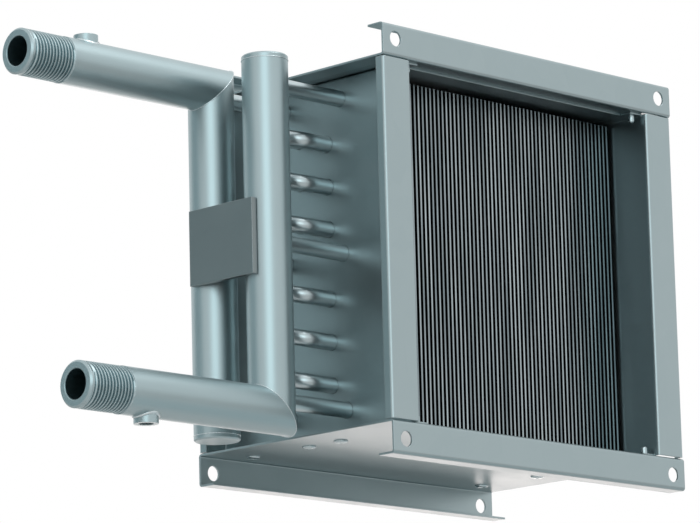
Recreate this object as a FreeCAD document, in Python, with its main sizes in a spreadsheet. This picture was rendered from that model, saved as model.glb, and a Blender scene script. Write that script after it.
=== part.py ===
# Water heating coil for a square air duct: a flanged sheet-metal casing round a finned tube block,
# with two headers and their threaded connection pipes on the left side.
# Frame: X to the right, Y along the air flow from the front flange, Z up. The origin is the centre
# of the front flange's face.
import FreeCAD, Part
import math
import os
import Sketcher

drivingSizes = {
    # casing
    "casing_width": 250,
    "casing_depth": 160,
    "opening_height": 211,
    "flange_height": 19.5,
    "sheet_thickness": 1.2,
    "bend_radius": 0.8,
    "panel_lip": 12,
    "side_flange": 22,
    "side_lip": 6.3,
    "side_end_gap": 1.6,
    "side_tab": 10,
    "side_tab_relief": 4,
    "corner_hole": 9,
    "corner_hole_inset": 10.3,
    "corner_hole_height": 10.6,
    "baffle_edge": 12,
    "baffle_gap": 0.3,
    # rivets, their rows counted from the front flange's face, the last from the rear's
    "rivet_body": 4,
    "rivet_head": 8.4,
    "rivet_head_height": 1.4,
    "rivet_head_land": 0.5,
    "rivet_head_top": 5,
    "rivet_tail": 4.5,
    "short_rivet_tail": 2,
    "rivet_clearance": 0.1,
    "rivet_row_front": 8,
    "rivet_row_second": 69,
    "rivet_row_third": 95,
    "rivet_row_rear": 18,
    # tubes
    "tube_diameter": 9.52,
    "tube_wall": 0.5,
    "tube_clearance": 0.08,
    "tube_row_spacing": 11.38,
    "tube_pitch": 25.4,
    "feed_centre_height": 1,
    "feed_edge_distance": 12.5,
    "hairpin_reach": 12,
    "hairpin_rise": 6,
    "tube_stub": 2,
    "return_bend_leg": 1,
    "long_bend_radius": 8,
    "crossover_gap": 0.6,
    # fins
    "fin_pitch": 3.38,
    "fin_thickness": 1.2,
    "fin_side_gap": 2,
    "fin_end_gap": 3.7,
    "fin_edge": 30,
    # headers and connection pipes
    "pipe_diameter": 26.9,
    "header_wall": 2.6,
    "pipe_bore": 17,
    "thread_diameter": 26.44,
    "thread_length": 36.4,
    "header_offset": 39.1,
    "header_end_rise": 3.5,
    "pipe_drop": 8.2,
    "pipe_reach": 187,
    "pipe_chamfer": 1.2,
    "mitre_margin": 1,
    "tube_projection": 2,
    "cap_thickness": 3,
    "cap_chamfer": 0.8,
    "boss_diameter": 14,
    "boss_hole": 8.6,
    "boss_height": 3.5,
    "boss_distance": 51.5,
    # strap that ties the two headers
    "strap_thickness": 3.5,
    "strap_front_overhang": 4.4,
    "strap_rear_overhang": 2.2,
    "strap_height": 44,
    "strap_centre_height": 1.5,
}

doc = FreeCAD.newDocument("DuctWaterHeatingCoil")
sheet = doc.addObject("Spreadsheet::Sheet", "Sizes")
for row, (alias, number) in enumerate(drivingSizes.items(), start=1):
    sheet.set(f"A{row}", alias)
    sheet.set(f"B{row}", str(number))
    sheet.setAlias(f"B{row}", alias)
doc.recompute()

subParts = []

# Places that several pieces share, written in the sheet's sizes
halfWidth = "Sizes.casing_width / 2"
halfOpening = "Sizes.opening_height / 2"
depth = "Sizes.casing_depth"
sheetGauge = "Sizes.sheet_thickness"
flangeTop = f"({halfOpening} + Sizes.flange_height)"
webFace = f"({halfWidth} - Sizes.side_flange)"
tubeHole = "Sizes.tube_diameter + 2 * Sizes.tube_clearance"
rivetHole = "Sizes.rivet_body + 2 * Sizes.rivet_clearance"
rivetX = f"({webFace} - Sizes.side_tab / 2)"
headerX = f"(-{halfWidth} - Sizes.header_offset)"
headerBore = "(Sizes.pipe_diameter - 2 * Sizes.header_wall)"
pipeFaceX = f"(-{halfWidth} - Sizes.pipe_reach)"
bossX = f"({pipeFaceX} + Sizes.boss_distance)"
tubeEndX = f"({webFace} + {sheetGauge} + Sizes.tube_stub)"
hairpinTurnX = f"(-{webFace} - {sheetGauge} - Sizes.hairpin_reach)"
rowY = [f"({depth} / 2 + {place} * Sizes.tube_row_spacing)" for place in (-2, -1, 1, 2)]
feedTop = f"({halfOpening} - Sizes.feed_edge_distance)"
feedZ = {
    "upper": feedTop,
    "middle": "Sizes.feed_centre_height",
    "lower": f"(2 * Sizes.feed_centre_height - {feedTop})",
}
pipeHeight = f"({halfOpening} - Sizes.pipe_drop)"
headerEnd = f"({halfOpening} + Sizes.header_end_rise)"
rivetRows = [
    "Sizes.rivet_row_front",
    "Sizes.rivet_row_second",
    "Sizes.rivet_row_third",
    f"({depth} - Sizes.rivet_row_rear)",
]
# The two middle rivets stand beside the fins and have short tails, which stay clear of them
rivetTails = ["rivet_tail", "short_rivet_tail", "short_rivet_tail", "rivet_tail"]
passesPerCircuit = 3


def passHeight(level, number):
    """Height of the front leg of one hairpin, counted down from its feed tube."""
    return f"({feedZ[level]} - {number + 1} * Sizes.tube_pitch)"


def rearPassHeight(level, number):
    return f"({passHeight(level, number)} + Sizes.hairpin_rise)"


def size(alias):
    return float(sheet.get(alias))


def newBody(label):
    body = doc.addObject("PartDesign::Body", label)
    body.Label = label
    subParts.append(body)
    return body


def newSketch(body, role, offset="0"):
    sketch = body.newObject("Sketcher::SketchObject", f"{body.Label}_sketch")
    plane = [feature for feature in body.Origin.OriginFeatures if feature.Role == role][0]
    sketch.AttachmentSupport = [(plane, "")]
    sketch.MapMode = "FlatFace"
    sketch.setExpression(".AttachmentOffset.Base.z", offset)
    return sketch


def dimension(sketch, kind, geometry, point, expression):
    index = sketch.addConstraint(Sketcher.Constraint(kind, geometry, point, 1.0))
    sketch.setExpression(f"Constraints[{index}]", expression)


def placePoint(sketch, geometry, point, across, up):
    dimension(sketch, "DistanceX", geometry, point, across)
    dimension(sketch, "DistanceY", geometry, point, up)


def addOutline(sketch, corners):
    """Closed outline of straight lines, each corner dimensioned from the sketch's origin."""
    first = sketch.GeometryCount
    count = len(corners)
    for step in range(count):
        start = FreeCAD.Vector(step, step * step, 0)
        end = FreeCAD.Vector(step + 1, (step + 1) ** 2, 0)
        sketch.addGeometry(Part.LineSegment(start, end), False)
    for step in range(count):
        following = first + (step + 1) % count
        sketch.addConstraint(Sketcher.Constraint("Coincident", first + step, 2, following, 1))
    for step, (across, up) in enumerate(corners):
        placePoint(sketch, first + step, 1, across, up)


def addCircle(sketch, across, up, diameter):
    circle = Part.Circle(FreeCAD.Vector(0, 0, 0), FreeCAD.Vector(0, 0, 1), 1)
    index = sketch.addGeometry(circle, False)
    placePoint(sketch, index, 3, across, up)
    constraint = sketch.addConstraint(Sketcher.Constraint("Diameter", index, 2.0))
    sketch.setExpression(f"Constraints[{constraint}]", diameter)


def addPad(body, sketch, length, midplane=False):
    pad = body.newObject("PartDesign::Pad", f"{body.Label}_pad")
    pad.Profile = sketch
    pad.setExpression("Length", length)
    pad.Midplane = midplane
    doc.recompute()
    return pad


def addPocket(body, sketch, length, midplane=True):
    """Cuts the sketch out of the body, and makes sure that it took material away."""
    before = body.Tip.Shape.Volume
    pocket = body.newObject("PartDesign::Pocket", f"{body.Label}_pocket")
    pocket.Profile = sketch
    pocket.setExpression("Length", length)
    pocket.Midplane = midplane
    doc.recompute()
    if pocket.Shape.Volume >= before:
        raise ValueError(f"{body.Label}: a pocket cuts nothing")
    return pocket


def straightEdges(shape, direction, wanted):
    """Names of the edges along a direction whose middle point is wanted."""
    names = []
    for number, edge in enumerate(shape.Edges, start=1):
        if edge.Curve.TypeId != "Part::GeomLine":
            continue
        along = edge.Curve.Direction
        if abs(along.dot(direction)) > 0.999 and wanted(edge.CenterOfMass):
            names.append(f"Edge{number}")
    return names


def addFillet(body, base, edges, radius):
    fillet = body.newObject("PartDesign::Fillet", f"{body.Label}_bend")
    fillet.Base = (base, edges)
    fillet.setExpression("Radius", radius)
    doc.recompute()
    return fillet


def roundFlangeBends(body, base, direction):
    """Rounds the folds at the front and rear flanges: the outer corners lie on the casing's
    front and rear faces, the inner ones a sheet's thickness behind them."""
    gauge = size("sheet_thickness")
    middle = size("casing_depth") / 2

    def liesAt(distance):
        return lambda point: abs(abs(point.y - middle) - distance) < gauge / 4

    edges = straightEdges(base.Shape, direction, liesAt(middle))
    outer = addFillet(body, base, edges, f"Sizes.bend_radius + {sheetGauge}")
    edges = straightEdges(outer.Shape, direction, liesAt(middle - gauge))
    return addFillet(body, outer, edges, "Sizes.bend_radius")


def flangedSection(near, far, outer, lip):
    """Section of a panel with a flange and a return lip at the front and at the rear. near and
    far are the panel's two faces, outer is the flange's outer edge and outer less the gauge
    its inside. The corners are (distance from the duct's axis, depth)."""
    inside = f"({outer} - ({far} - {near}))"
    gauge = sheetGauge
    return [
        (near, "0"),
        (outer, "0"),
        (outer, lip),
        (inside, lip),
        (inside, gauge),
        (far, gauge),
        (far, f"({depth} - {gauge})"),
        (inside, f"({depth} - {gauge})"),
        (inside, f"({depth} - {lip})"),
        (outer, f"({depth} - {lip})"),
        (outer, depth),
        (near, depth),
    ]


def makeCrossPanel(label, sign):
    """Top or bottom panel, the full width of the casing."""
    body = newBody(label)
    section = flangedSection(
        halfOpening, f"({halfOpening} + {sheetGauge})", flangeTop, "Sizes.panel_lip")
    sketch = newSketch(body, "YZ_Plane")
    addOutline(sketch, [(along, f"{sign} * {up}") for up, along in section])
    pad = addPad(body, sketch, "Sizes.casing_width", midplane=True)
    roundFlangeBends(body, pad, FreeCAD.Vector(1, 0, 0))

    holes = newSketch(body, "XZ_Plane")
    for side in ("1", "-1"):
        addCircle(holes, f"{side} * ({halfWidth} - Sizes.corner_hole_inset)",
                  f"{sign} * ({halfOpening} + Sizes.corner_hole_height)", "Sizes.corner_hole")
    addPocket(body, holes, "3 * Sizes.casing_depth")

    rivetHoles = newSketch(body, "XY_Plane", f"{sign} * {halfOpening}")
    addRivetHoles(rivetHoles, ("1", "-1"))
    addPocket(body, rivetHoles, f"4 * {sheetGauge}")


def addRivetHoles(sketch, sides):
    for side in sides:
        for row in rivetRows:
            addCircle(sketch, f"{side} * {rivetX}", row, rivetHole)


def tubeCentres():
    """Centres of all tube passes through the side panels, as (depth, height)."""
    centres = []
    for level in feedZ:
        centres.append((rowY[0], feedZ[level]))
        centres.append((rowY[3], feedZ[level]))
    for level in ("upper", "middle"):
        for number in range(passesPerCircuit):
            centres.append((rowY[1], passHeight(level, number)))
            centres.append((rowY[2], rearPassHeight(level, number)))
    return centres


def makeSidePanel(label, sign):
    """Side panel: a recessed web with a tab along its top and its bottom, then the front and
    rear flanges, which stop a little short of the top and bottom panels."""
    body = newBody(label)
    tabEnd = f"({webFace} - Sizes.side_tab)"
    webBack = f"({webFace} + {sheetGauge})"
    tabInside = f"({halfOpening} - {sheetGauge})"
    channel = newSketch(body, "XZ_Plane", f"-{depth} / 2")
    corners = [
        (tabEnd, halfOpening),
        (webBack, halfOpening),
        (webBack, f"-{halfOpening}"),
        (tabEnd, f"-{halfOpening}"),
        (tabEnd, f"-{tabInside}"),
        (webFace, f"-{tabInside}"),
        (webFace, tabInside),
        (tabEnd, tabInside),
    ]
    addOutline(channel, [(f"{sign} * {across}", up) for across, up in corners])
    pad = addPad(body, channel, f"{depth} - 2 * Sizes.side_tab_relief", midplane=True)
    alongDepth = FreeCAD.Vector(0, 1, 0)
    gauge = size("sheet_thickness")
    half = size("opening_height") / 2
    reach = size("casing_width") / 2 - size("side_flange")

    def isOuterBend(point):
        return abs(abs(point.x) - reach - gauge) < gauge / 4 and abs(abs(point.z) - half) < gauge / 4

    def isInnerBend(point):
        return abs(abs(point.x) - reach) < gauge / 4 and abs(abs(point.z) - half + gauge) < gauge / 4

    edges = straightEdges(pad.Shape, alongDepth, isOuterBend)
    bend = addFillet(body, pad, edges, f"Sizes.bend_radius + {sheetGauge}")
    edges = straightEdges(bend.Shape, alongDepth, isInnerBend)
    addFillet(body, bend, edges, "Sizes.bend_radius")

    section = flangedSection(webFace, webBack, halfWidth, "Sizes.side_lip")
    flanges = newSketch(body, "XY_Plane")
    addOutline(flanges, [(f"{sign} * {across}", along) for across, along in section])
    flangePad = addPad(body, flanges, "Sizes.opening_height - 2 * Sizes.side_end_gap", midplane=True)
    roundFlangeBends(body, flangePad, FreeCAD.Vector(0, 0, 1))

    tubeHoles = newSketch(body, "YZ_Plane", f"{sign} * {webFace}")
    for along, up in tubeCentres():
        addCircle(tubeHoles, along, up, tubeHole)
    addPocket(body, tubeHoles, f"4 * {sheetGauge}")

    rivetHoles = newSketch(body, "XY_Plane")
    addRivetHoles(rivetHoles, (sign,))
    addPocket(body, rivetHoles, "2 * Sizes.opening_height")


def makeBaffle(label, sign):
    """Flat sheet that closes the way past the fins, between the side panels' tabs."""
    body = newBody(label)
    edge = f"({webFace} - Sizes.side_tab - Sizes.baffle_gap)"
    start = f"({halfOpening} - {sheetGauge} / 2)"
    sketch = newSketch(body, "XY_Plane", f"{sign} * {start}")
    addOutline(sketch, [
        (f"-{edge}", "Sizes.baffle_edge"),
        (edge, "Sizes.baffle_edge"),
        (edge, f"{depth} - Sizes.baffle_edge"),
        (f"-{edge}", f"{depth} - Sizes.baffle_edge"),
    ])
    addPad(body, sketch, sheetGauge, midplane=True)


def rivetShape(tail):
    """One blind rivet, its head's seat at the origin and its body down the Z axis."""
    length = 2 * size("sheet_thickness") + tail
    corners = [
        (0, size("rivet_head_height")),
        (size("rivet_head_top") / 2, size("rivet_head_height")),
        (size("rivet_head") / 2, size("rivet_head_land")),
        (size("rivet_head") / 2, 0),
        (size("rivet_body") / 2, 0),
        (size("rivet_body") / 2, -length),
        (0, -length),
    ]
    points = [FreeCAD.Vector(across, 0, up) for across, up in corners + corners[:1]]
    profile = Part.Face(Part.makePolygon(points))
    return profile.revolve(FreeCAD.Vector(0, 0, 0), FreeCAD.Vector(0, 0, 1), 360)


def makeRivets(label, side, up):
    """The rivets along one edge of the casing, through a panel and a side panel's tab."""
    rows = [size("rivet_row_front"), size("rivet_row_second"), size("rivet_row_third"),
            size("casing_depth") - size("rivet_row_rear")]
    across = side * (size("casing_width") / 2 - size("side_flange") - size("side_tab") / 2)
    seat = size("opening_height") / 2 + size("sheet_thickness")
    rivets = []
    for row, tail in zip(rows, rivetTails):
        rivet = rivetShape(size(tail))
        if up < 0:
            rivet.rotate(FreeCAD.Vector(0, 0, 0), FreeCAD.Vector(1, 0, 0), 180)
        rivet.translate(FreeCAD.Vector(across, row, up * seat))
        rivets.append(rivet)
    feature = doc.addObject("Part::Feature", label)
    feature.Label = label
    feature.Shape = Part.makeCompound(rivets)
    feature.Placement = FreeCAD.Placement()
    subParts.append(feature)


def makeTube(label, along, up):
    """Straight feed tube from inside a header, through both side panels."""
    body = newBody(label)
    start = f"({headerX} + {headerBore} / 2 - Sizes.tube_projection)"
    sketch = newSketch(body, "YZ_Plane", start)
    addCircle(sketch, along, up, "Sizes.tube_diameter")
    addCircle(sketch, along, up, "Sizes.tube_diameter - 2 * Sizes.tube_wall")
    addPad(body, sketch, f"{tubeEndX} - {start}")


def placeSpan(body, baseX, near, far):
    """Turns a body about X so that its own Z axis runs from one tube to another, and puts its
    origin on the first. near and far are (depth, height)."""
    aboutX = FreeCAD.Rotation(FreeCAD.Vector(1, 0, 0), 90)
    body.Placement = FreeCAD.Placement(FreeCAD.Vector(0, 0, 0), aboutX)
    body.setExpression(".Placement.Base.x", baseX)
    body.setExpression(".Placement.Base.y", near[0])
    body.setExpression(".Placement.Base.z", near[1])
    run = f"({far[0]} - {near[0]})"
    rise = f"({far[1]} - {near[1]})"
    body.setExpression(".Placement.Rotation.Angle", f"atan2(-{run}; {rise})")


def spanLength(near, far):
    return f"sqrt(({far[0]} - {near[0]})^2 + ({far[1]} - {near[1]})^2)"


def addPathLine(sketch, start, end):
    line = Part.LineSegment(FreeCAD.Vector(0, 0, 0), FreeCAD.Vector(1, 1, 0))
    index = sketch.addGeometry(line, False)
    placePoint(sketch, index, 1, *start)
    placePoint(sketch, index, 2, *end)
    return index


def addPathArc(sketch, startLine, startPoint, endLine, endPoint, centreX, angles):
    """Counter-clockwise arc from a point of one line to a point of another, drawn once the
    lines lie in their places."""
    doc.recompute()
    start = sketch.getPoint(startLine, startPoint)
    end = sketch.getPoint(endLine, endPoint)
    first, last = [math.radians(angle) for angle in angles]
    radius = start.distanceToPoint(end) / (2 * math.sin((last - first) / 2))
    centre = start - FreeCAD.Vector(math.cos(first), math.sin(first), 0) * radius
    circle = Part.Circle(centre, FreeCAD.Vector(0, 0, 1), radius)
    index = sketch.addGeometry(Part.ArcOfCircle(circle, first, last), False)
    sketch.addConstraint(Sketcher.Constraint("Coincident", index, 1, startLine, startPoint))
    sketch.addConstraint(Sketcher.Constraint("Coincident", index, 2, endLine, endPoint))
    dimension(sketch, "DistanceX", index, 3, centreX)


def sweepTube(body, path, start):
    """Sweeps the tube's section, outside and bore, along a path that starts at (start, 0)."""
    section = newSketch(body, "YZ_Plane", start)
    addCircle(section, "0", "0", "Sizes.tube_diameter")
    addCircle(section, "0", "0", "Sizes.tube_diameter - 2 * Sizes.tube_wall")
    pipe = body.newObject("PartDesign::AdditivePipe", f"{body.Label}_pipe")
    pipe.Profile = section
    pipe.Spine = (path, [])
    doc.recompute()


def makeHairpin(label, level, number):
    """Tube bent to a U outside the left side panel. Its front leg lies on the body's X axis."""
    body = newBody(label)
    near = (rowY[1], passHeight(level, number))
    far = (rowY[2], rearPassHeight(level, number))
    span = spanLength(near, far)
    path = newSketch(body, "XZ_Plane")
    frontLeg = addPathLine(path, (tubeEndX, "0"), (hairpinTurnX, "0"))
    rearLeg = addPathLine(path, (hairpinTurnX, span), (tubeEndX, span))
    addPathArc(path, rearLeg, 1, frontLeg, 2, hairpinTurnX, (90, 270))
    sweepTube(body, path, tubeEndX)
    placeSpan(body, "0", near, far)


def makeReturnBend(label, near, far):
    """Half-turn bend that joins the ends of two neighbouring tubes outside the right side
    panel. Its first end lies on the body's origin."""
    body = newBody(label)
    span = spanLength(near, far)
    leg = "Sizes.return_bend_leg"
    path = newSketch(body, "XZ_Plane")
    firstLeg = addPathLine(path, ("0", "0"), (leg, "0"))
    lastLeg = addPathLine(path, (leg, span), ("0", span))
    addPathArc(path, firstLeg, 2, lastLeg, 1, leg, (-90, 90))
    sweepTube(body, path, "0")
    placeSpan(body, tubeEndX, near, far)


def makeLongBend(label, near, far, reach):
    """Bend with a straight middle for two tubes that lie far apart. reach is the depth of its
    corners' centres."""
    body = newBody(label)
    span = spanLength(near, far)
    radius = "Sizes.long_bend_radius"
    crown = f"({reach} + {radius})"
    path = newSketch(body, "XZ_Plane")
    firstLeg = addPathLine(path, ("0", "0"), (reach, "0"))
    crossing = addPathLine(path, (crown, radius), (crown, f"{span} - {radius}"))
    lastLeg = addPathLine(path, (reach, span), ("0", span))
    addPathArc(path, firstLeg, 2, crossing, 1, reach, (-90, 0))
    addPathArc(path, crossing, 2, lastLeg, 1, reach, (0, 90))
    sweepTube(body, path, "0")
    placeSpan(body, tubeEndX, near, far)


def addMitreCut(body, across, up, leftwards, upwards):
    """Cuts a round bar at 45 degrees through the point where two pipes' axes cross. The corner
    that goes lies to the left or right of that point, above or below it."""
    reach = "(Sizes.pipe_diameter / 2 + 2 * Sizes.mitre_margin)"
    sketch = newSketch(body, "XZ_Plane")
    farX = f"{across} + {leftwards} * {reach}"
    nearX = f"{across} - {leftwards} * {reach}"
    farZ = f"{up} + {upwards} * {reach}"
    nearZ = f"{up} - {upwards} * {reach}"
    addOutline(sketch, [(farX, farZ), (farX, nearZ), (nearX, farZ)])
    addPocket(body, sketch, "3 * Sizes.casing_depth")


def makeHeader(label, along, up):
    """Upright header: its mitred end meets a connection pipe (up is 1 at the top, -1 at the
    bottom), and a cap closes the other end."""
    body = newBody(label)
    mitreEnd = f"({pipeHeight} + Sizes.pipe_diameter / 2 + Sizes.mitre_margin)"
    capEnd = f"({headerEnd} - Sizes.cap_thickness)"
    low, high = (f"-{capEnd}", mitreEnd) if up > 0 else (f"-{mitreEnd}", capEnd)
    sketch = newSketch(body, "XY_Plane", low)
    addCircle(sketch, headerX, along, "Sizes.pipe_diameter")
    addCircle(sketch, headerX, along, headerBore)
    addPad(body, sketch, f"{high} - ({low})")
    addMitreCut(body, headerX, f"{up} * {pipeHeight}", -1, up)
    holes = newSketch(body, "YZ_Plane", f"{headerX} + Sizes.pipe_diameter / 2")
    for height in feedZ.values():
        addCircle(holes, along, height, tubeHole)
    addPocket(body, holes, "Sizes.pipe_diameter")


def makeConnectionPipe(label, along, up):
    """Level pipe from a header's mitred end to the threaded mouth on the left."""
    body = newBody(label)
    height = f"{up} * {pipeHeight}"
    end = f"({headerX} + Sizes.pipe_diameter / 2 + Sizes.mitre_margin)"
    shoulder = f"({pipeFaceX} + Sizes.thread_length)"
    sketch = newSketch(body, "YZ_Plane", shoulder)
    addCircle(sketch, along, height, "Sizes.pipe_diameter")
    addCircle(sketch, along, height, "Sizes.pipe_bore")
    addPad(body, sketch, f"{end} - {shoulder}")
    threadedEnd = newSketch(body, "YZ_Plane", pipeFaceX)
    addCircle(threadedEnd, along, height, "Sizes.thread_diameter")
    addCircle(threadedEnd, along, height, "Sizes.pipe_bore")
    pad = addPad(body, threadedEnd, "Sizes.thread_length")
    chamfer = body.newObject("PartDesign::Chamfer", f"{label}_mouth")
    chamfer.Base = (pad, mouthEdges(pad.Shape))
    chamfer.setExpression("Size", "Sizes.pipe_chamfer")
    doc.recompute()
    addMitreCut(body, headerX, height, 1, f"-{up}")
    hole = newSketch(body, "XY_Plane", f"{height} + {up} * Sizes.pipe_diameter / 2")
    addCircle(hole, bossX, along, "Sizes.boss_hole")
    addPocket(body, hole, "Sizes.pipe_diameter")


def mouthEdges(shape):
    """The two rims of the pipe's open face."""
    leftmost = shape.BoundBox.XMin
    names = []
    for number, edge in enumerate(shape.Edges, start=1):
        if edge.BoundBox.XMax - leftmost < size("mitre_margin") / 10:
            names.append(f"Edge{number}")
    return names


def makeCap(label, along, up):
    """Round end cap, welded on a header's end, its outer rim chamfered."""
    body = newBody(label)
    radius = "(Sizes.pipe_diameter / 2)"
    sketch = newSketch(body, "XZ_Plane")
    addOutline(sketch, [
        ("0", "0"),
        (radius, "0"),
        (radius, "Sizes.cap_thickness - Sizes.cap_chamfer"),
        (f"{radius} - Sizes.cap_chamfer", "Sizes.cap_thickness"),
        ("0", "Sizes.cap_thickness"),
    ])
    turn = body.newObject("PartDesign::Revolution", f"{label}_turn")
    turn.Profile = sketch
    turn.ReferenceAxis = (sketch, ["V_Axis"])
    turn.Angle = 360
    doc.recompute()
    placeUpright(body, headerX, along, up, f"{headerEnd} - Sizes.cap_thickness")


def placeUpright(body, across, along, up, height):
    """Puts a body at a height above or below the duct's axis, its own Z away from the axis."""
    if up < 0:
        body.Placement = FreeCAD.Placement(
            FreeCAD.Vector(0, 0, 0), FreeCAD.Rotation(FreeCAD.Vector(1, 0, 0), 180))
    body.setExpression(".Placement.Base.x", across)
    body.setExpression(".Placement.Base.y", along)
    body.setExpression(".Placement.Base.z", f"{up} * ({height})")


def makeBoss(label, along, up):
    """Short open socket that stands on a connection pipe, saddled to the pipe's round."""
    body = newBody(label)
    sketch = newSketch(body, "XY_Plane")
    addCircle(sketch, "0", "0", "Sizes.boss_diameter")
    addCircle(sketch, "0", "0", "Sizes.boss_hole")
    addPad(body, sketch, "Sizes.pipe_diameter / 2 + Sizes.boss_height")
    saddle = newSketch(body, "YZ_Plane")
    addCircle(saddle, "0", "0", "Sizes.pipe_diameter")
    addPocket(body, saddle, "2 * Sizes.boss_diameter")
    placeUpright(body, bossX, along, up, pipeHeight)


def makeStrap(label):
    body = newBody(label)
    back = f"({headerX} - Sizes.pipe_diameter / 2)"
    front = f"({rowY[0]} - Sizes.strap_front_overhang)"
    rear = f"({rowY[3]} + Sizes.strap_rear_overhang)"
    top = "(Sizes.strap_centre_height + Sizes.strap_height / 2)"
    bottom = "(Sizes.strap_centre_height - Sizes.strap_height / 2)"
    sketch = newSketch(body, "YZ_Plane", f"{back} - Sizes.strap_thickness")
    addOutline(sketch, [(front, bottom), (rear, bottom), (rear, top), (front, top)])
    addPad(body, sketch, "Sizes.strap_thickness")


def makeFinPack(label):
    """The row of plate fins, evenly spaced about the middle of the duct."""
    body = newBody(label)
    room = f"2 * ({webFace} - Sizes.fin_side_gap) - Sizes.fin_thickness"
    gaps = f"floor(({room}) / Sizes.fin_pitch)"
    row = f"(Sizes.fin_pitch * {gaps})"
    sketch = newSketch(body, "YZ_Plane", f"-{row} / 2")
    edge = "Sizes.fin_edge"
    rear = f"({depth} - Sizes.fin_edge)"
    half = f"({halfOpening} - Sizes.fin_end_gap)"
    addOutline(sketch, [
        (edge, f"-{half}"),
        (rear, f"-{half}"),
        (rear, half),
        (edge, half),
    ])
    pad = addPad(body, sketch, "Sizes.fin_thickness", midplane=True)
    fins = body.newObject("PartDesign::LinearPattern", f"{label}_row")
    fins.Originals = [pad]
    fins.Direction = (sketch, ["N_Axis"])
    fins.setExpression("Length", row)
    fins.setExpression("Occurrences", f"{gaps} + 1")
    body.Tip = fins
    doc.recompute()


makeCrossPanel("top_panel", "1")
makeCrossPanel("bottom_panel", "-1")
makeSidePanel("left_side_panel", "-1")
makeSidePanel("right_side_panel", "1")
makeBaffle("upper_baffle", "1")
makeBaffle("lower_baffle", "-1")
makeRivets("top_left_rivets", -1, 1)
makeRivets("top_right_rivets", 1, 1)
makeRivets("bottom_left_rivets", -1, -1)
makeRivets("bottom_right_rivets", 1, -1)

makeHeader("front_header", rowY[0], -1)
makeHeader("rear_header", rowY[3], 1)
makeCap("front_header_cap", rowY[0], 1)
makeCap("rear_header_cap", rowY[3], -1)
makeConnectionPipe("lower_connection_pipe", rowY[0], -1)
makeConnectionPipe("upper_connection_pipe", rowY[3], 1)
makeBoss("vent_boss", rowY[3], 1)
makeBoss("drain_boss", rowY[0], -1)
makeStrap("header_strap")

# A crossover bend passes outside the crown of the return bend that it crosses
returnCrown = "(Sizes.return_bend_leg + Sizes.tube_pitch / 2 + Sizes.tube_diameter / 2)"
crossoverCentre = f"({returnCrown} + Sizes.crossover_gap + Sizes.tube_diameter / 2)"
crossoverReach = f"({crossoverCentre} - Sizes.long_bend_radius)"
for level, height in feedZ.items():
    makeTube(f"{level}_front_feed_tube", rowY[0], height)
    makeTube(f"{level}_rear_feed_tube", rowY[3], height)
for level in ("upper", "middle"):
    frontPasses = [(rowY[1], passHeight(level, number)) for number in range(passesPerCircuit)]
    rearPasses = [(rowY[2], rearPassHeight(level, number)) for number in range(passesPerCircuit)]
    for number in range(passesPerCircuit):
        makeHairpin(f"{level}_hairpin_tube_{number + 1}", level, number)
    front, rear = (rowY[0], feedZ[level]), (rowY[3], feedZ[level])
    makeReturnBend(f"{level}_feed_bend", front, frontPasses[0])
    makeReturnBend(f"{level}_rear_return_bend", rearPasses[0], rearPasses[1])
    makeReturnBend(f"{level}_front_return_bend", frontPasses[1], frontPasses[2])
    makeLongBend(f"{level}_crossover_bend", rearPasses[2], rear, crossoverReach)
front, rear = (rowY[0], feedZ["lower"]), (rowY[3], feedZ["lower"])
makeLongBend("lower_level_bend", front, rear, "Sizes.return_bend_leg")
makeFinPack("fin_pack")
doc.recompute()

os.makedirs("parts", exist_ok=True)
for item in doc.Objects:
    if "Invalid" in item.State or "Error" in item.State:
        raise ValueError(f"{item.Name}: {item.State}")
for part in subParts:
    if part.Shape.isNull() or not part.Shape.isValid():
        raise ValueError(f"{part.Label}: not a valid shape")
for part in subParts:
    part.Shape.exportStep(f"parts/{part.Label}.step")
    print(part.Label, len(part.Shape.Solids), round(part.Shape.Volume, 1))
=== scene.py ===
import bpy
import bmesh
import math
from mathutils import Matrix, Vector


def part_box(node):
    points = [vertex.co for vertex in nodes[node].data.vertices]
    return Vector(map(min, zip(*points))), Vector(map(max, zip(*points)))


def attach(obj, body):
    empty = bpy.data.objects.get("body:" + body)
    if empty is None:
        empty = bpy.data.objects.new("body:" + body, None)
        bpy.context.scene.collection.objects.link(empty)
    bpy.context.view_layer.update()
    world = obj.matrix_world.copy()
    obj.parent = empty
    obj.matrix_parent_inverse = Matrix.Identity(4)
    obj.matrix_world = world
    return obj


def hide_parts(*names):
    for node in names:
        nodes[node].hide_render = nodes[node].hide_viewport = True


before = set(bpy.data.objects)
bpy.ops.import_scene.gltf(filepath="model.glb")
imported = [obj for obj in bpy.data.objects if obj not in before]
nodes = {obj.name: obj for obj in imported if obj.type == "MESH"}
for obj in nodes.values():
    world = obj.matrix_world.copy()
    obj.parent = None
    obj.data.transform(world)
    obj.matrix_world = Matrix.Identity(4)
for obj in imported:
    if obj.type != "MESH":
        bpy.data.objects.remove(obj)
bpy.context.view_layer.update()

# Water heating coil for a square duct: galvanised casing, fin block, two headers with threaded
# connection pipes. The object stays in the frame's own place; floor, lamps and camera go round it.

view = {
    "place": (-1.8130, -1.6410, -0.4919),
    "yaw": 45.2716,      # degrees from +Y towards +X
    "pitch": 11.4517,    # degrees above the horizon
    "roll": 1.4635,
    "lens": 218.40,      # mm
    "sensorWidth": 36,   # mm
    "nearest": 0.05,
    "farthest": 60,
}

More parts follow.
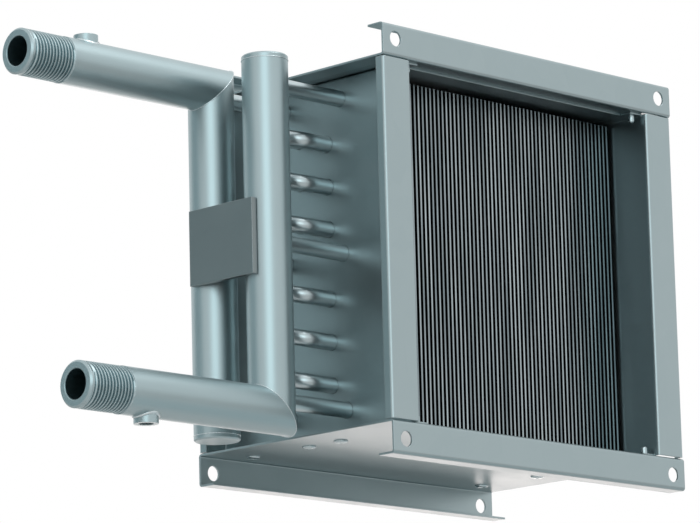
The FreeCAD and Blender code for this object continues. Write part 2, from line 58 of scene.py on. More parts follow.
# Everything the metal mirrors: a white room, three soft lamps, and two matt cards that shade one side
studio = {
    "floorHeight": -0.62,
    "floorSize": 14.0,
    "floorColour": (0.78, 0.755, 0.745, 1),
    "roomColour": (1.0, 1.0, 1.0, 1),
    "roomFill": 0.75,         # strength of the room for diffuse rays, 1 for all others
    "paintRoughness": 0.95,
    "sheetCuts": 8,
    "lamps": {
        "keyLamp": {"place": (-1.75, -1.50, 0.50), "size": 1.3,
                    "power": 7.0, "colour": (0.80, 0.97, 1.0)},
        "topLamp": {"place": (0.3, -0.9, 1.9), "size": 1.2,
                    "power": 16.0, "colour": (1.0, 1.0, 1.0)},
        "lowLamp": {"place": (1.5, 1.6, -0.42), "size": 1.2,
                    "power": 8.0, "colour": (1.0, 0.86, 0.82)},
    },
    "cards": {
        "leftCard": {"place": (-1.15, 1.12, 0.25), "size": 1.35,
                    "colour": (0.47, 0.58, 0.61, 1)},
        "underCard": {"place": (0.15, -0.15, -0.60), "size": 0.75,
                     "colour": (0.62, 0.70, 0.72, 1)},
    },
}
aim = Vector((-0.05, 0.08, 0))


def linkObject(name, data):
    item = bpy.data.objects.new(name, data)
    bpy.context.scene.collection.objects.link(item)
    return item


def addCamera():
    yaw = math.radians(view["yaw"])
    pitch = math.radians(view["pitch"])
    roll = math.radians(view["roll"])
    forward = Vector((math.sin(yaw) * math.cos(pitch), math.cos(yaw) * math.cos(pitch), math.sin(pitch)))
    level = Vector((math.cos(yaw), -math.sin(yaw), 0))
    down = forward.cross(level)
    right = level * math.cos(roll) + down * math.sin(roll)
    up = level * math.sin(roll) - down * math.cos(roll)
    camera = linkObject("camera", bpy.data.cameras.new("camera"))
    camera.data.sensor_width = view["sensorWidth"]
    camera.data.lens = view["lens"]
    camera.data.clip_start = view["nearest"]
    camera.data.clip_end = view["farthest"]
    turn = Matrix((right, up, -forward)).transposed().to_4x4()
    camera.matrix_world = Matrix.Translation(view["place"]) @ turn
    bpy.context.scene.camera = camera


def faceAim(item, place):
    item.location = place
    item.rotation_euler = (aim - item.location).to_track_quat("-Z", "Y").to_euler()


def addLamp(name, look):
    lamp = linkObject(name, bpy.data.lights.new(name, "AREA"))
    lamp.data.size = look["size"]
    lamp.data.energy = look["power"]
    lamp.data.color = look["colour"]
    faceAim(lamp, look["place"])


def paintedSheet(name, size, colour):
    bm = bmesh.new()
    cuts = studio["sheetCuts"]
    bmesh.ops.create_grid(bm, x_segments=cuts, y_segments=cuts, size=size)
    mesh = bpy.data.meshes.new(name)
    bm.to_mesh(mesh)
    bm.free()
    paint = bpy.data.materials.new(name + "Paint")
    paint.use_nodes = True
    shader = paint.node_tree.nodes["Principled BSDF"]
    shader.inputs["Base Color"].default_value = colour
    shader.inputs["Roughness"].default_value = studio["paintRoughness"]
    shader.inputs["Specular IOR Level"].default_value = 0.0
    mesh.materials.append(paint)
    sheet = linkObject(name, mesh)
    return sheet


def addCard(name, look):
    # matt studio card, seen in the metal but not by the camera
    card = paintedSheet(name, look["size"] / 2, look["colour"])
    card.visible_camera = False
    card.visible_shadow = False
    faceAim(card, look["place"])


def addRoom():
    room = bpy.data.worlds.new("room")
    bpy.context.scene.world = room
    room.use_nodes = True
    tree = room.node_tree
    background = tree.nodes["Background"]
    background.inputs["Color"].default_value = studio["roomColour"]
    path = tree.nodes.new("ShaderNodeLightPath")
    seen = path.outputs["Is Camera Ray"]
    for ray in ("Is Glossy Ray", "Is Transmission Ray"):
        either = tree.nodes.new("ShaderNodeMath")
        either.operation = "MAXIMUM"
        tree.links.new(seen, either.inputs[0])
        tree.links.new(path.outputs[ray], either.inputs[1])
        seen = either.outputs[0]
    strength = tree.nodes.new("ShaderNodeMapRange")
    strength.inputs["To Min"].default_value = studio["roomFill"]
    strength.inputs["To Max"].default_value = 1.0
    tree.links.new(seen, strength.inputs["Value"])
    tree.links.new(strength.outputs["Result"], background.inputs["Strength"])


addCamera()
addRoom()
floor = paintedSheet("floor", studio["floorSize"], studio["floorColour"])
floor.location.z = studio["floorHeight"]
for name, look in studio["lamps"].items():
    addLamp(name, look)
for name, look in studio["cards"].items():
    addCard(name, look)
bpy.context.scene.view_settings.view_transform = "Standard"
print("camera, room, floor, lamps and cards are set")


# Shared effects as node groups: worn edges with a painted highlight, zinc spangle, drawn lines, the
# duct's inside with its painted shade

edgeWearAndHighlightLook = {"samples": 4, "flat": 0.985, "round": 0.80,
            "noiseLow": 0.38, "noiseHigh": 0.62, "least": 0.25}
zincLook = {"cloudScale": 14.0, "cloudDetail": 4.0, "cloudRoughness": 0.6, "grainDetail": 2.0}
drawnLook = {"lineDetail": 3.0, "cloudScale": 35.0, "cloudDetail": 4.0, "cloudRoughness": 0.6}
bumpDistance = 0.0002
facingInward = -0.05    # distance from the duct's axis times the share of the normal that points away


def newGroup(name, inputs, outputs):
    group = bpy.data.node_groups.new(name, "ShaderNodeTree")
    for label, kind, value in inputs:
        socket = group.interface.new_socket(label, in_out="INPUT", socket_type=kind)
        socket.default_value = value
    for label, kind in outputs:
        group.interface.new_socket(label, in_out="OUTPUT", socket_type=kind)
    entry = group.nodes.new("NodeGroupInput")
    leave = group.nodes.new("NodeGroupOutput")
    return group, entry, leave


def feed(tree, socket, value):
    # a number or a colour is set on the socket, an output is linked to it
    if isinstance(value, (int, float, tuple)):
        socket.default_value = value
    else:
        tree.links.new(value, socket)


def mathNode(tree, operation, *values):
    node = tree.nodes.new("ShaderNodeMath")
    node.operation = operation
    for socket, value in zip(node.inputs, values):
        feed(tree, socket, value)
    return node.outputs[0]


def rangeNode(tree, value, low, high, toLow, toHigh):
    node = tree.nodes.new("ShaderNodeMapRange")
    tree.links.new(value, node.inputs["Value"])
    for label, number in (("From Min", low), ("From Max", high), ("To Min", toLow), ("To Max", toHigh)):
        node.inputs[label].default_value = number
    return node.outputs["Result"]


def noiseNode(tree, vector, scale, detail=3.0, roughness=0.55):
    node = tree.nodes.new("ShaderNodeTexNoise")
    tree.links.new(vector, node.inputs["Vector"])
    node.inputs["Detail"].default_value = detail
    node.inputs["Roughness"].default_value = roughness
    feed(tree, node.inputs["Scale"], scale)
    return node.outputs["Fac"]


def mixColour(tree, amount, first, second):
    node = tree.nodes.new("ShaderNodeMix")
    node.data_type = "RGBA"
    node.blend_type = "MIX"
    node.clamp_factor = True
    for place, value in ((0, amount), (6, first), (7, second)):
        feed(tree, node.inputs[place], value)
    return node.outputs[2]    # the colour sockets follow those for numbers and vectors


def makeEdgeGroup():
    # mask of worn edges that also carry a painted highlight: where the rounded normal leaves the flat
    # one, broken up by noise
    group, entry, leave = newGroup(
        "edgeWearAndHighlight",
        [("Radius", "NodeSocketFloat", 0.0006), ("Break Up", "NodeSocketFloat", 300.0)],
        [("Mask", "NodeSocketFloat"), ("Normal", "NodeSocketVector")])
    bevel = group.nodes.new("ShaderNodeBevel")
    bevel.samples = edgeWearAndHighlightLook["samples"]
    group.links.new(entry.outputs["Radius"], bevel.inputs["Radius"])
    geometry = group.nodes.new("ShaderNodeNewGeometry")
    dot = group.nodes.new("ShaderNodeVectorMath")
    dot.operation = "DOT_PRODUCT"
    group.links.new(bevel.outputs["Normal"], dot.inputs[0])
    group.links.new(geometry.outputs["True Normal"], dot.inputs[1])
    edge = rangeNode(group, dot.outputs["Value"], edgeWearAndHighlightLook["flat"], edgeWearAndHighlightLook["round"], 0.0, 1.0)
    coords = group.nodes.new("ShaderNodeTexCoord")
    noise = noiseNode(group, coords.outputs["Object"], entry.outputs["Break Up"])
    broken = rangeNode(group, noise, edgeWearAndHighlightLook["noiseLow"], edgeWearAndHighlightLook["noiseHigh"],
                       edgeWearAndHighlightLook["least"], 1.0)
    group.links.new(mathNode(group, "MULTIPLY", edge, broken), leave.inputs["Mask"])
    group.links.new(bevel.outputs["Normal"], leave.inputs["Normal"])
    return group


def makeSpangleGroup():
    # zinc spangle: large soft crystals, fine grain, faint cloudy stains
    group, entry, leave = newGroup(
        "zincSpangle",
        [("Crystal Scale", "NodeSocketFloat", 90.0), ("Grain Scale", "NodeSocketFloat", 2500.0)],
        [("Crystal", "NodeSocketFloat"), ("Cloud", "NodeSocketFloat"), ("Grain", "NodeSocketFloat")])
    coords = group.nodes.new("ShaderNodeTexCoord")
    place = coords.outputs["Object"]
    crystal = group.nodes.new("ShaderNodeTexVoronoi")
    crystal.feature = "F1"
    group.links.new(place, crystal.inputs["Vector"])
    group.links.new(entry.outputs["Crystal Scale"], crystal.inputs["Scale"])
    shade = group.nodes.new("ShaderNodeSeparateColor")
    group.links.new(crystal.outputs["Color"], shade.inputs[0])
    group.links.new(shade.outputs[0], leave.inputs["Crystal"])
    cloud = noiseNode(group, place, zincLook["cloudScale"], zincLook["cloudDetail"],
                      zincLook["cloudRoughness"])
    group.links.new(cloud, leave.inputs["Cloud"])
    grain = noiseNode(group, place, entry.outputs["Grain Scale"], zincLook["grainDetail"])
    group.links.new(grain, leave.inputs["Grain"])
    return group


def makeDrawnGroup():
    # fine lines left by drawing a tube, along one axis of the piece
    group, entry, leave = newGroup(
        "drawnLines",
        [("Stretch", "NodeSocketVector", (1.0, 1.0, 1.0)), ("Scale", "NodeSocketFloat", 900.0)],
        [("Lines", "NodeSocketFloat"), ("Cloud", "NodeSocketFloat")])
    coords = group.nodes.new("ShaderNodeTexCoord")
    stretched = group.nodes.new("ShaderNodeVectorMath")
    stretched.operation = "MULTIPLY"
    group.links.new(coords.outputs["Object"], stretched.inputs[0])
    group.links.new(entry.outputs["Stretch"], stretched.inputs[1])
    lines = noiseNode(group, stretched.outputs[0], entry.outputs["Scale"], drawnLook["lineDetail"])
    group.links.new(lines, leave.inputs["Lines"])
    cloud = noiseNode(group, coords.outputs["Object"], drawnLook["cloudScale"], drawnLook["cloudDetail"],
                      drawnLook["cloudRoughness"])
    group.links.new(cloud, leave.inputs["Cloud"])
    return group


def makeInsideGroup():
    # mask of the casing's faces that look at the duct's axis, which get a painted shade
    group, entry, leave = newGroup(
        "ductInside", [("Reach", "NodeSocketFloat", 0.112), ("Front", "NodeSocketFloat", 0.0025)],
        [("Mask", "NodeSocketFloat")])
    coords = group.nodes.new("ShaderNodeTexCoord")
    place = group.nodes.new("ShaderNodeSeparateXYZ")
    group.links.new(coords.outputs["Object"], place.inputs[0])
    geometry = group.nodes.new("ShaderNodeNewGeometry")
    facing = group.nodes.new("ShaderNodeSeparateXYZ")
    group.links.new(geometry.outputs["True Normal"], facing.inputs[0])
    across = mathNode(group, "MULTIPLY", place.outputs["X"], facing.outputs["X"])
    upward = mathNode(group, "MULTIPLY", place.outputs["Z"], facing.outputs["Z"])
    inward = mathNode(group, "LESS_THAN", mathNode(group, "ADD", across, upward), facingInward)
    behind = mathNode(group, "GREATER_THAN", place.outputs["Y"], entry.outputs["Front"])
    mask = mathNode(group, "MULTIPLY", inward, behind)
    for axis in ("X", "Z"):
        reach = mathNode(group, "ABSOLUTE", place.outputs[axis])
        near = mathNode(group, "LESS_THAN", reach, entry.outputs["Reach"])
        mask = mathNode(group, "MULTIPLY", mask, near)
    group.links.new(mask, leave.inputs["Mask"])
    return group


edgeWearAndHighlight = makeEdgeGroup()
ductInside = makeInsideGroup()
zincSpangle = makeSpangleGroup()
drawnLines = makeDrawnGroup()


def placeGroup(tree, group, **values):
    node = tree.nodes.new("ShaderNodeGroup")
    node.node_tree = group
    for label, value in values.items():
        node.inputs[label.replace("_", " ")].default_value = value
    return node


def bumpNode(tree, height, strength, normal):
    bump = tree.nodes.new("ShaderNodeBump")
    bump.inputs["Strength"].default_value = strength
    bump.inputs["Distance"].default_value = bumpDistance
    tree.links.new(height, bump.inputs["Height"])
    tree.links.new(normal, bump.inputs["Normal"])
    return bump.outputs["Normal"]


# Shapes that replace or finish plain CAD forms

mergeDistance = 1e-6
sharpAngles = {"thread": 32, "rivet": 35, "sheet": 5, "bead": 60}    # degrees
alongPlusX = Matrix.Rotation(math.radians(90), 4, "Y")


def profileEdges(bm, points):
    # chain of edges in the XZ plane; each point is (distance from the Z axis, height)
    verts = [bm.verts.new((across, 0, up)) for across, up in points]
    return [bm.edges.new(pair) for pair in zip(verts, verts[1:])]


def spinRound(bm, steps):
    bmesh.ops.spin(bm, geom=bm.verts[:] + bm.edges[:], cent=(0, 0, 0), axis=(0, 0, 1),
                   dvec=(0, 0, 0), angle=2 * math.pi, steps=steps, use_merge=True)
    bmesh.ops.remove_doubles(bm, verts=bm.verts, dist=mergeDistance / 10)


def joinInto(target, source, matrix):
    # adds a copy of one bmesh to another, placed by a matrix
    carrier = bpy.data.meshes.new("carrier")
    source.to_mesh(carrier)
    carrier.transform(matrix)
    target.from_mesh(carrier)
    bpy.data.meshes.remove(carrier)


def finishPiece(name, bm, replaced, kind):
    bmesh.ops.recalc_face_normals(bm, faces=bm.faces)
    for face in bm.faces:
        face.smooth = True
    mesh = bpy.data.meshes.new(name)
    bm.to_mesh(mesh)
    bm.free()
    mesh.set_sharp_from_angle(angle=math.radians(sharpAngles[kind]))
    piece = linkObject(name, mesh)
    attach(piece, "root")
    if replaced:
        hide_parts(*replaced)
    return piece


def middleOf(name):
    low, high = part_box(name)
    return (low + high) / 2


def sizeOf(name):
    low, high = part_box(name)
    return high - low


# Threaded pipe ends

pipeEnd = {
    "shoulder": 0.0364,       # from the open face to where the CAD pipe takes over
    "threadLength": 0.0322,   # from the open face to the last groove
    "plainLength": 0.0026,    # bare ring between the face and the first groove
    "radius": 0.01322,
    "plainRadius": 0.01345,
    "bore": 0.0085,
    "chamfer": 0.0011,
    "boreChamfer": 0.0004,
    "pitch": 0.0023,
    "depth": 0.00105,
    "runIn": 2,               # the first groove reaches its depth in one part in two of a pitch
    "steps": 112,
    "markedDepth": 1.1,       # share of the groove's depth that counts as thread
    "markedBore": 1.02,       # share of the bore's radius that counts as bore
    "jointGap": 1e-5,
}
# one groove of the thread: share of the pitch, share of the depth
groove = [(0.0, 0.0), (0.15, 0.0), (0.33, 1.0), (0.72, 1.0), (0.90, 0.0), (1.0, 0.0)]


def grooveShare(turns):
    phase = turns % 1.0
    for (before, shallow), (after, deep) in zip(groove, groove[1:]):
        if phase <= after:
            return shallow + (deep - shallow) * (phase - before) / (after - before)
    return 0.0


def threadColumn(share):
    # outline of the pipe end at one angle, as (distance from the axis, height over the open face);
    # it starts and ends at the bore's far end
    look = pipeEnd
    start, finish, pitch = look["plainLength"], look["threadLength"], look["pitch"]
    radius, chamfer, shoulder = look["radius"], look["chamfer"], look["shoulder"]
    column = [(look["bore"], shoulder), (look["bore"], look["boreChamfer"]),
              (look["bore"] + look["boreChamfer"], 0), (radius - chamfer, 0), (radius, chamfer)]
    for number in range(-1, math.ceil((finish - start) / pitch) + 2):
        for place, _ in groove[1:-1]:
            height = min(finish, max(start, start + (number + place - share) * pitch))
            runIn = min(1.0, look["runIn"] * (height - start) / pitch)
            depth = look["depth"] * runIn * grooveShare((height - start) / pitch + share)
            column.append((radius - depth, height))
    column += [(look["plainRadius"], finish), (look["plainRadius"], shoulder), (look["bore"], shoulder)]
    return column


def addThreadedEnd(bm, faceX, axisY, axisZ):
    # every column holds the same groove, moved along by its share of the turn
    end = bmesh.new()
    columns = []
    for step in range(pipeEnd["steps"] + 1):
        share = step / pipeEnd["steps"]
        angle = -2 * math.pi * share
        columns.append([end.verts.new((across * math.cos(angle), across * math.sin(angle), up))
                        for across, up in threadColumn(share)])
    for left, right in zip(columns, columns[1:]):
        for row in range(len(left) - 1):
            end.faces.new((left[row], right[row], right[row + 1], left[row + 1]))
    bmesh.ops.remove_doubles(end, verts=end.verts, dist=mergeDistance)
    bmesh.ops.dissolve_degenerate(end, edges=end.edges, dist=mergeDistance)
    joinInto(bm, end, Matrix.Translation((faceX, axisY, axisZ)) @ alongPlusX)
    end.free()


def markGrooves(piece, faceX, axisY, axisZ):
    # share of the groove's depth at each point, for the painted shade in the thread's roots and in the
    # bore
    look = pipeEnd
    first = faceX + look["plainLength"]
    last = faceX + look["threadLength"] + mergeDistance
    mark = piece.data.attributes.new("groove", "FLOAT", "POINT")
    for vert, value in zip(piece.data.vertices, mark.data):
        across = math.hypot(vert.co.y - axisY, vert.co.z - axisZ)
        depth = look["radius"] - across
        if first < vert.co.x < last and depth < look["depth"] * look["markedDepth"]:
            value.value = max(0.0, depth / look["depth"])
        elif across < look["bore"] * look["markedBore"]:
            value.value = 1.0


def sharpenWall(mesh, wallX):
    # the step at the thread's end keeps the grooves' shading off the plain pipe
    for edge in mesh.edges:
        if all(abs(mesh.vertices[end].co.x - wallX) < 2 * mergeDistance for end in edge.vertices):
            edge.use_edge_sharp = True


def makeThreadedPipe(level):
    node = level + "_connection_pipe"
    low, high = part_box(node)
    bm = bmesh.new()
    bm.from_mesh(nodes[node].data)
    bmesh.ops.remove_doubles(bm, verts=bm.verts, dist=mergeDistance)
    shoulder = low.x + pipeEnd["shoulder"]
    geometry = bm.verts[:] + bm.edges[:] + bm.faces[:]
    cut = (shoulder + pipeEnd["jointGap"], 0, 0)
    bmesh.ops.bisect_plane(bm, geom=geometry, dist=mergeDistance, plane_co=cut,
                           plane_no=(-1, 0, 0), clear_outer=True)
    rims = [edge for edge in bm.edges if edge.is_boundary]
    bmesh.ops.bridge_loops(bm, edges=rims)
    place = (low.x, (low.y + high.y) / 2, (low.z + high.z) / 2)
    addThreadedEnd(bm, *place)
    piece = finishPiece(level + "_threaded_pipe", bm, (node,), "thread")
    sharpenWall(piece.data, low.x + pipeEnd["threadLength"])
    markGrooves(piece, *place)
    return piece


# Rivets with domed heads

rivet = {
    "headRadius": 0.0042,
    "rim": 0.00035,
    "height": 0.0014,
    "dimple": 0.00105,
    "dimpleFloor": 0.8,     # share of the dimple's radius
    "dimpleDepth": 0.0006,
    "bodyRadius": 0.0020,
    "tipRadius": 0.7,       # share of the body's radius
    "tipLength": 3,         # the tip is one part in three of the body's radius long
    "grip": 0.0024,
    "rounds": 7,
    "steps": 32,
}


def rivetBmesh(tail):
    look = rivet
    base = look["headRadius"]
    points = [(0, look["height"] - look["dimpleDepth"]),
              (look["dimple"] * look["dimpleFloor"], look["height"] - look["dimpleDepth"]),
              (look["dimple"], look["height"])]
    for step in range(1, look["rounds"] + 1):
        angle = math.pi / 2 * step / look["rounds"]
        across = look["dimple"] + (base - look["dimple"]) * math.sin(angle)
        points.append((across, look["rim"] + (look["height"] - look["rim"]) * math.cos(angle)))
    body = look["bodyRadius"]
    foot = -look["grip"] - tail
    points += [(base, 0), (body, 0), (body, foot + body / look["tipLength"]),
               (body * look["tipRadius"], foot), (0, foot)]
    bm = bmesh.new()
    profileEdges(bm, points)
    spinRound(bm, look["steps"])
    return bm


def looseParts(name):
    # centre and height range of each separate solid of a CAD node
    bm = bmesh.new()
    bm.from_mesh(nodes[name].data)
    bmesh.ops.remove_doubles(bm, verts=bm.verts, dist=mergeDistance)
    unseen = set(bm.verts)
    parts = []
    while unseen:
        group = {unseen.pop()}
        front = list(group)
        while front:
            vert = front.pop()
            for edge in vert.link_edges:
                other = edge.other_vert(vert)
                if other in unseen:
                    unseen.discard(other)
                    group.add(other)
                    front.append(other)
        places = [vert.co for vert in group]
        low = Vector([min(place[axis] for place in places) for axis in range(3)])
        high = Vector([max(place[axis] for place in places) for axis in range(3)])
        parts.append((low, high))
    bm.free()
    return sorted(parts, key=lambda part: part[0].y)


def makeRivetRow(name):
    bm = bmesh.new()
    for low, high in looseParts(name):
        centre = (low + high) / 2
        upward = centre.z > 0
        seat = high.z - rivet["height"] if upward else low.z + rivet["height"]
        tail = (high.z - low.z) - rivet["height"] - rivet["grip"]
        turn = Matrix.Identity(4) if upward else Matrix.Rotation(math.pi, 4, "X")
        single = rivetBmesh(tail)
        joinInto(bm, single, Matrix.Translation((centre.x, centre.y, seat)) @ turn)
        single.free()
    return finishPiece(name + "_domed", bm, (name,), "rivet")


# Side panels whose flanges reach up to the folds of the top and bottom panels

foldGap = 0.0006
frontFace = 1e-4
sameHeight = 1e-5


def makeClosedSide(name):
    bm = bmesh.new()
    bm.from_mesh(nodes[name].data)
    bmesh.ops.remove_doubles(bm, verts=bm.verts, dist=mergeDistance)
    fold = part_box("top_panel")[0].z
    flangeEnd = max(vert.co.z for vert in bm.verts if vert.co.y < frontFace)
    for vert in bm.verts:
        if abs(abs(vert.co.z) - flangeEnd) < sameHeight:
            vert.co.z = math.copysign(fold - foldGap, vert.co.z)
    return finishPiece(name + "_closed", bm, (name,), "sheet")


# Weld beads and brazing rings

bead = {
    "mitre": 0.00032,
    "cap": 0.00025,
    "boss": 0.0009,
    "tube": 0.0006,
    "braze": 0.00055,
    "ripple": 0.16,
    "rippleLength": 0.0011,
    "leastRipples": 6,
    "round": 8,
    "mitreSteps": 160,
    "capSteps": 120,
    "saddleSteps": 72,
    "brazeSteps": 48,
    "endTolerance": 1e-5,
}


def beadBmesh(radius, thickness, steps):
    # ring round the Z axis with the ripples that a travelling weld pool leaves
    bm = bmesh.new()
    bmesh.ops.create_circle(bm, segments=bead["round"], radius=thickness)
    bmesh.ops.rotate(bm, verts=bm.verts, cent=(0, 0, 0), matrix=Matrix.Rotation(math.pi / 2, 3, "X"))
    bmesh.ops.translate(bm, verts=bm.verts, vec=(radius, 0, 0))
    spinRound(bm, steps)
    ripples = max(bead["leastRipples"], round(2 * math.pi * radius / bead["rippleLength"]))
    for vert in bm.verts:
        angle = math.atan2(vert.co.y, vert.co.x)
        swell = 1 + bead["ripple"] * math.sin(ripples * angle)
        around = Vector((radius * math.cos(angle), radius * math.sin(angle), 0))
        vert.co = around + (vert.co - around) * swell
    return bm


pipeRadius = sizeOf("front_header").y / 2
capHeight = sizeOf("front_header_cap").z


def addMitreBead(bm, header, pipe):
    # the bead's ring lies on the plane at 45 degrees where the two pipes meet
    axis = middleOf(header)
    height = middleOf(pipe).z
    slope = 1 if height > 0 else -1
    ring = beadBmesh(pipeRadius, bead["mitre"], bead["mitreSteps"])
    lean = Matrix(((1, 0, 0, 0), (0, 1, 0, 0), (slope, 0, 1, 0), (0, 0, 0, 1)))
    joinInto(bm, ring, Matrix.Translation((axis.x, axis.y, height)) @ lean)
    ring.free()


def addSaddleBead(bm, centre, radius, thickness, matrix):
    # ring round a small tube that stands on a pipe; the pipe's axis is the ring's own X axis
    ring = beadBmesh(radius, thickness, bead["saddleSteps"])
    for vert in ring.verts:
        vert.co.z += math.sqrt(pipeRadius ** 2 - vert.co.y ** 2)
    joinInto(bm, ring, Matrix.Translation(centre) @ matrix)
    ring.free()


def makeHeaderWelds():
    bm = bmesh.new()
    for header, pipe, cap in (("rear_header", "upper_connection_pipe", "rear_header_cap"),
                              ("front_header", "lower_connection_pipe", "front_header_cap")):
        addMitreBead(bm, header, pipe)
        place = middleOf(cap)
        inward = -capHeight / 2 if place.z > 0 else capHeight / 2
        ring = beadBmesh(pipeRadius, bead["cap"], bead["capSteps"])
        joinInto(bm, ring, Matrix.Translation((place.x, place.y, place.z + inward)))
        ring.free()
    for boss, pipe in (("vent_boss", "upper_connection_pipe"), ("drain_boss", "lower_connection_pipe")):
        place = middleOf(boss)
        axis = middleOf(pipe)
        turn = Matrix.Identity(4) if axis.z > 0 else Matrix.Rotation(math.pi, 4, "X")
        addSaddleBead(bm, (place.x, axis.y, axis.z), sizeOf(boss).x / 2, bead["boss"], turn)
    tubeRadius = sizeOf("upper_front_feed_tube").y / 2
    onHeader = Matrix(((0, 0, 1, 0), (0, 1, 0, 0), (-1, 0, 0, 0), (0, 0, 0, 1)))
    for row in ("front", "rear"):
        header = middleOf(row + "_header")
        for level in ("upper", "middle", "lower"):
            tube = middleOf(f"{level}_{row}_feed_tube")
            addSaddleBead(bm, (header.x, tube.y, tube.z), tubeRadius, bead["tube"], onHeader)
    return finishPiece("header_welds", bm, (), "bead")


def makeBrazingRings():
    # one ring at each end of each bend on the right side
    bm = bmesh.new()
    bends = [name for name in nodes if name.endswith("_bend")]
    tubeEnd = min(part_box(name)[0].x for name in bends)
    for name in bends:
        middle = middleOf(name)
        ends = {True: [], False: []}
        for vert in nodes[name].data.vertices:
            if vert.co.x - tubeEnd < bead["endTolerance"]:
                beyond = vert.co.y > middle.y if name == "lower_level_bend" else vert.co.z > middle.z
                ends[beyond].append(vert.co)
        for places in ends.values():
            alongY = [place.y for place in places]
            alongZ = [place.z for place in places]
            radius = (max(alongY) - min(alongY)) / 2
            centre = (tubeEnd, (max(alongY) + min(alongY)) / 2, (max(alongZ) + min(alongZ)) / 2)
            ring = beadBmesh(radius, bead["braze"], bead["brazeSteps"])
            joinInto(bm, ring, Matrix.Translation(centre) @ alongPlusX)
            ring.free()
    return finishPiece("brazing_rings", bm, (), "bead")


# Finishes

finishes = {
    # edge is a lighter colour on worn edges, partly a painted highlight
    "galvanisedSheet": {
        "dark": (0.315, 0.39, 0.405, 1), "light": (0.365, 0.44, 0.455, 1), "edge": (0.42, 0.50, 0.52, 1),
        # inside is the share of painted shade on the duct's inside faces, mixed towards the dark colour
        # after it
        "inside": 0.32, "paintedShade": (0.12, 0.16, 0.175, 1),
        "roughLow": 0.30, "roughHigh": 0.38, "crystals": 85.0, "grain": 2600.0, "bump": 0.05},
    "steelPipe": {
        "dark": (0.34, 0.43, 0.45, 1), "light": (0.40, 0.495, 0.515, 1), "edge": (0.55, 0.65, 0.67, 1),
        # groove is the painted shade colour for the thread's roots and the bore
        "groove": (0.15, 0.245, 0.27, 1), "roughLow": 0.37, "roughHigh": 0.42, "bump": 0.03},
    "weldMetal": {
        "dark": (0.52, 0.60, 0.62, 1), "light": (0.66, 0.73, 0.75, 1), "edge": (0.8, 0.86, 0.88, 1),
        "roughLow": 0.22, "roughHigh": 0.34, "bump": 0.03},
    "brazeMetal": {
        "dark": (0.45, 0.42, 0.33, 1), "light": (0.60, 0.56, 0.44, 1), "edge": (0.7, 0.66, 0.55, 1),
        "roughLow": 0.25, "roughHigh": 0.40, "bump": 0.03},
    "coilTube": {
        "dark": (0.42, 0.50, 0.52, 1), "light": (0.52, 0.60, 0.62, 1), "edge": (0.68, 0.76, 0.78, 1),
        "roughLow": 0.28, "roughHigh": 0.36, "bump": 0.02},
    "strapPlate": {
        "dark": (0.235, 0.265, 0.27, 1), "light": (0.27, 0.305, 0.31, 1), "edge": (0.42, 0.48, 0.50, 1),
        "roughLow": 0.26, "roughHigh": 0.34, "bump": 0.03},
    "rivetSteel": {
        "dark": (0.40, 0.49, 0.51, 1), "light": (0.50, 0.59, 0.61, 1), "edge": (0.66, 0.74, 0.76, 1),
        "roughLow": 0.22, "roughHigh": 0.32, "bump": 0.03},
    "finSheet": {
        "edge": (0.44, 0.51, 0.53, 1), "edgeDull": (0.22, 0.27, 0.29, 1),
        "side": (0.008, 0.010, 0.011, 1), "roughEdge": 0.34, "roughSide": 0.62},
}

# What the sheet pieces share, what the drawn pieces share, and the fins' own
sheetLook = {"wearAndHighlightRadius": 0.0006, "breakUp": 260.0, "crystalShare": 0.2, "cloudShare": 0.8,
             "toneLow": 0.2, "toneHigh": 0.8}
tubeLook = {"lineScale": 900.0, "wearAndHighlightRadius": 0.0004, "breakUp": 350.0, "lineShare": 0.35,
            "cloudShare": 0.65, "toneLow": 0.25, "toneHigh": 0.75}
finLook = {"lineScale": 420.0, "facingLow": 0.4, "facingHigh": 0.6, "toneLow": 0.35, "toneHigh": 0.65}
alongX = (0.03, 1.0, 1.0)
alongZ = (1.0, 1.0, 0.03)
evenly = (1.0, 1.0, 1.0)


def newMetal(name):
    material = bpy.data.materials.new(name)
    material.use_nodes = True
    shader = material.node_tree.nodes["Principled BSDF"]
    shader.inputs["Metallic"].default_value = 1.0
    return material, material.node_tree, shader


def makeSheetMetal(name):
    look = finishes[name]
    material, tree, shader = newMetal(name)
    zinc = placeGroup(tree, zincSpangle, Crystal_Scale=look["crystals"], Grain_Scale=look["grain"])
    wearAndHighlight = placeGroup(tree, edgeWearAndHighlight, Radius=sheetLook["wearAndHighlightRadius"], Break_Up=sheetLook["breakUp"])
    crystal = mathNode(tree, "MULTIPLY", zinc.outputs["Crystal"], sheetLook["crystalShare"])
    cloud = mathNode(tree, "MULTIPLY", zinc.outputs["Cloud"], sheetLook["cloudShare"])
    tone = mathNode(tree, "ADD", crystal, cloud)
    base = mixColour(tree, tone, look["dark"], look["light"])
    # lighter edges: worn metal and a painted highlight
    base = mixColour(tree, wearAndHighlight.outputs["Mask"], base, look["edge"])
    # painted shade: the faces inside the duct are darkened
    inside = placeGroup(tree, ductInside)
    insideShade = mathNode(tree, "MULTIPLY", inside.outputs["Mask"], look["inside"])
    tree.links.new(mixColour(tree, insideShade, base, look["paintedShade"]), shader.inputs["Base Color"])
    rough = rangeNode(tree, tone, sheetLook["toneLow"], sheetLook["toneHigh"],
                      look["roughLow"], look["roughHigh"])
    tree.links.new(rough, shader.inputs["Roughness"])
    normal = bumpNode(tree, zinc.outputs["Grain"], look["bump"], wearAndHighlight.outputs["Normal"])
    tree.links.new(normal, shader.inputs["Normal"])
    return material


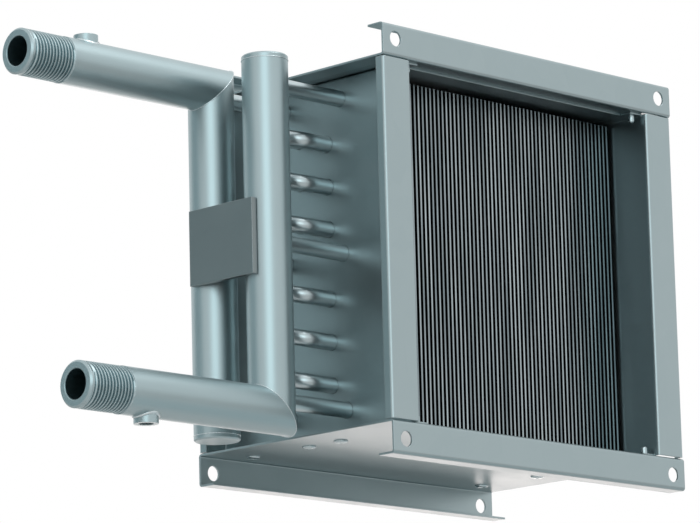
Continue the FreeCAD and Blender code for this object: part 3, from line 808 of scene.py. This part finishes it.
def makeTubeMetal(name, stretch, title=None):
    look = finishes[name]
    material, tree, shader = newMetal(title or name)
    drawn = placeGroup(tree, drawnLines, Stretch=stretch, Scale=tubeLook["lineScale"])
    wearAndHighlight = placeGroup(tree, edgeWearAndHighlight, Radius=tubeLook["wearAndHighlightRadius"], Break_Up=tubeLook["breakUp"])
    lines = mathNode(tree, "MULTIPLY", drawn.outputs["Lines"], tubeLook["lineShare"])
    cloud = mathNode(tree, "MULTIPLY", drawn.outputs["Cloud"], tubeLook["cloudShare"])
    tone = mathNode(tree, "ADD", lines, cloud)
    base = mixColour(tree, tone, look["dark"], look["light"])
    # lighter edges: worn metal and a painted highlight
    base = mixColour(tree, wearAndHighlight.outputs["Mask"], base, look["edge"])
    # painted shade in the thread's roots and the bore, from the groove attribute
    if "groove" in look:
        depth = tree.nodes.new("ShaderNodeAttribute")
        depth.attribute_name = "groove"
        base = mixColour(tree, depth.outputs["Fac"], base, look["groove"])
    tree.links.new(base, shader.inputs["Base Color"])
    rough = rangeNode(tree, tone, tubeLook["toneLow"], tubeLook["toneHigh"],
                      look["roughLow"], look["roughHigh"])
    tree.links.new(rough, shader.inputs["Roughness"])
    normal = bumpNode(tree, drawn.outputs["Lines"], look["bump"], wearAndHighlight.outputs["Normal"])
    tree.links.new(normal, shader.inputs["Normal"])
    return material


def makeFinMetal(name):
    # the broad sides of the fins lie in deep shade, their front and rear edges catch the light
    look = finishes[name]
    material, tree, shader = newMetal(name)
    geometry = tree.nodes.new("ShaderNodeNewGeometry")
    facing = tree.nodes.new("ShaderNodeSeparateXYZ")
    tree.links.new(geometry.outputs["True Normal"], facing.inputs[0])
    sideways = mathNode(tree, "ABSOLUTE", facing.outputs["X"])
    side = rangeNode(tree, sideways, finLook["facingLow"], finLook["facingHigh"], 0.0, 1.0)
    drawn = placeGroup(tree, drawnLines, Stretch=alongZ, Scale=finLook["lineScale"])
    tone = rangeNode(tree, drawn.outputs["Lines"], finLook["toneLow"], finLook["toneHigh"], 0.0, 1.0)
    edge = mixColour(tree, tone, look["edgeDull"], look["edge"])
    tree.links.new(mixColour(tree, side, edge, look["side"]), shader.inputs["Base Color"])
    tree.links.new(rangeNode(tree, side, 0.0, 1.0, look["roughEdge"], look["roughSide"]),
                   shader.inputs["Roughness"])
    return material


galvanised = makeSheetMetal("galvanisedSheet")
finMetal = makeFinMetal("finSheet")
levelPipe = makeTubeMetal("steelPipe", alongX, "steelPipeLevel")
uprightPipe = makeTubeMetal("steelPipe", alongZ, "steelPipeUpright")
tubeMetal = makeTubeMetal("coilTube", alongX)
strapMetal = makeTubeMetal("strapPlate", evenly)
rivetMetal = makeTubeMetal("rivetSteel", evenly)
weldMetal = makeTubeMetal("weldMetal", evenly)
brazeMetal = makeTubeMetal("brazeMetal", evenly)
print("finishes are made")


def dress(piece, material):
    piece.data.materials.clear()
    piece.data.materials.append(material)


for name, node in nodes.items():
    if "panel" in name or "baffle" in name:
        dress(node, galvanised)
    elif "rivets" in name:
        dress(node, rivetMetal)
    elif "pipe" in name or "boss" in name:
        dress(node, levelPipe)
    elif name.endswith("header") or "cap" in name:
        dress(node, uprightPipe)
    elif name == "header_strap":
        dress(node, strapMetal)
    elif name == "fin_pack":
        dress(node, finMetal)
    else:
        dress(node, tubeMetal)
print("CAD nodes are dressed")

for level in ("upper", "lower"):
    dress(makeThreadedPipe(level), levelPipe)
for name in ("top_left_rivets", "top_right_rivets", "bottom_left_rivets", "bottom_right_rivets"):
    dress(makeRivetRow(name), rivetMetal)
for name in ("left_side_panel", "right_side_panel"):
    dress(makeClosedSide(name), galvanised)
dress(makeHeaderWelds(), weldMetal)
dress(makeBrazingRings(), brazeMetal)
print("threads, rivets, side panels, welds and brazing rings are made")
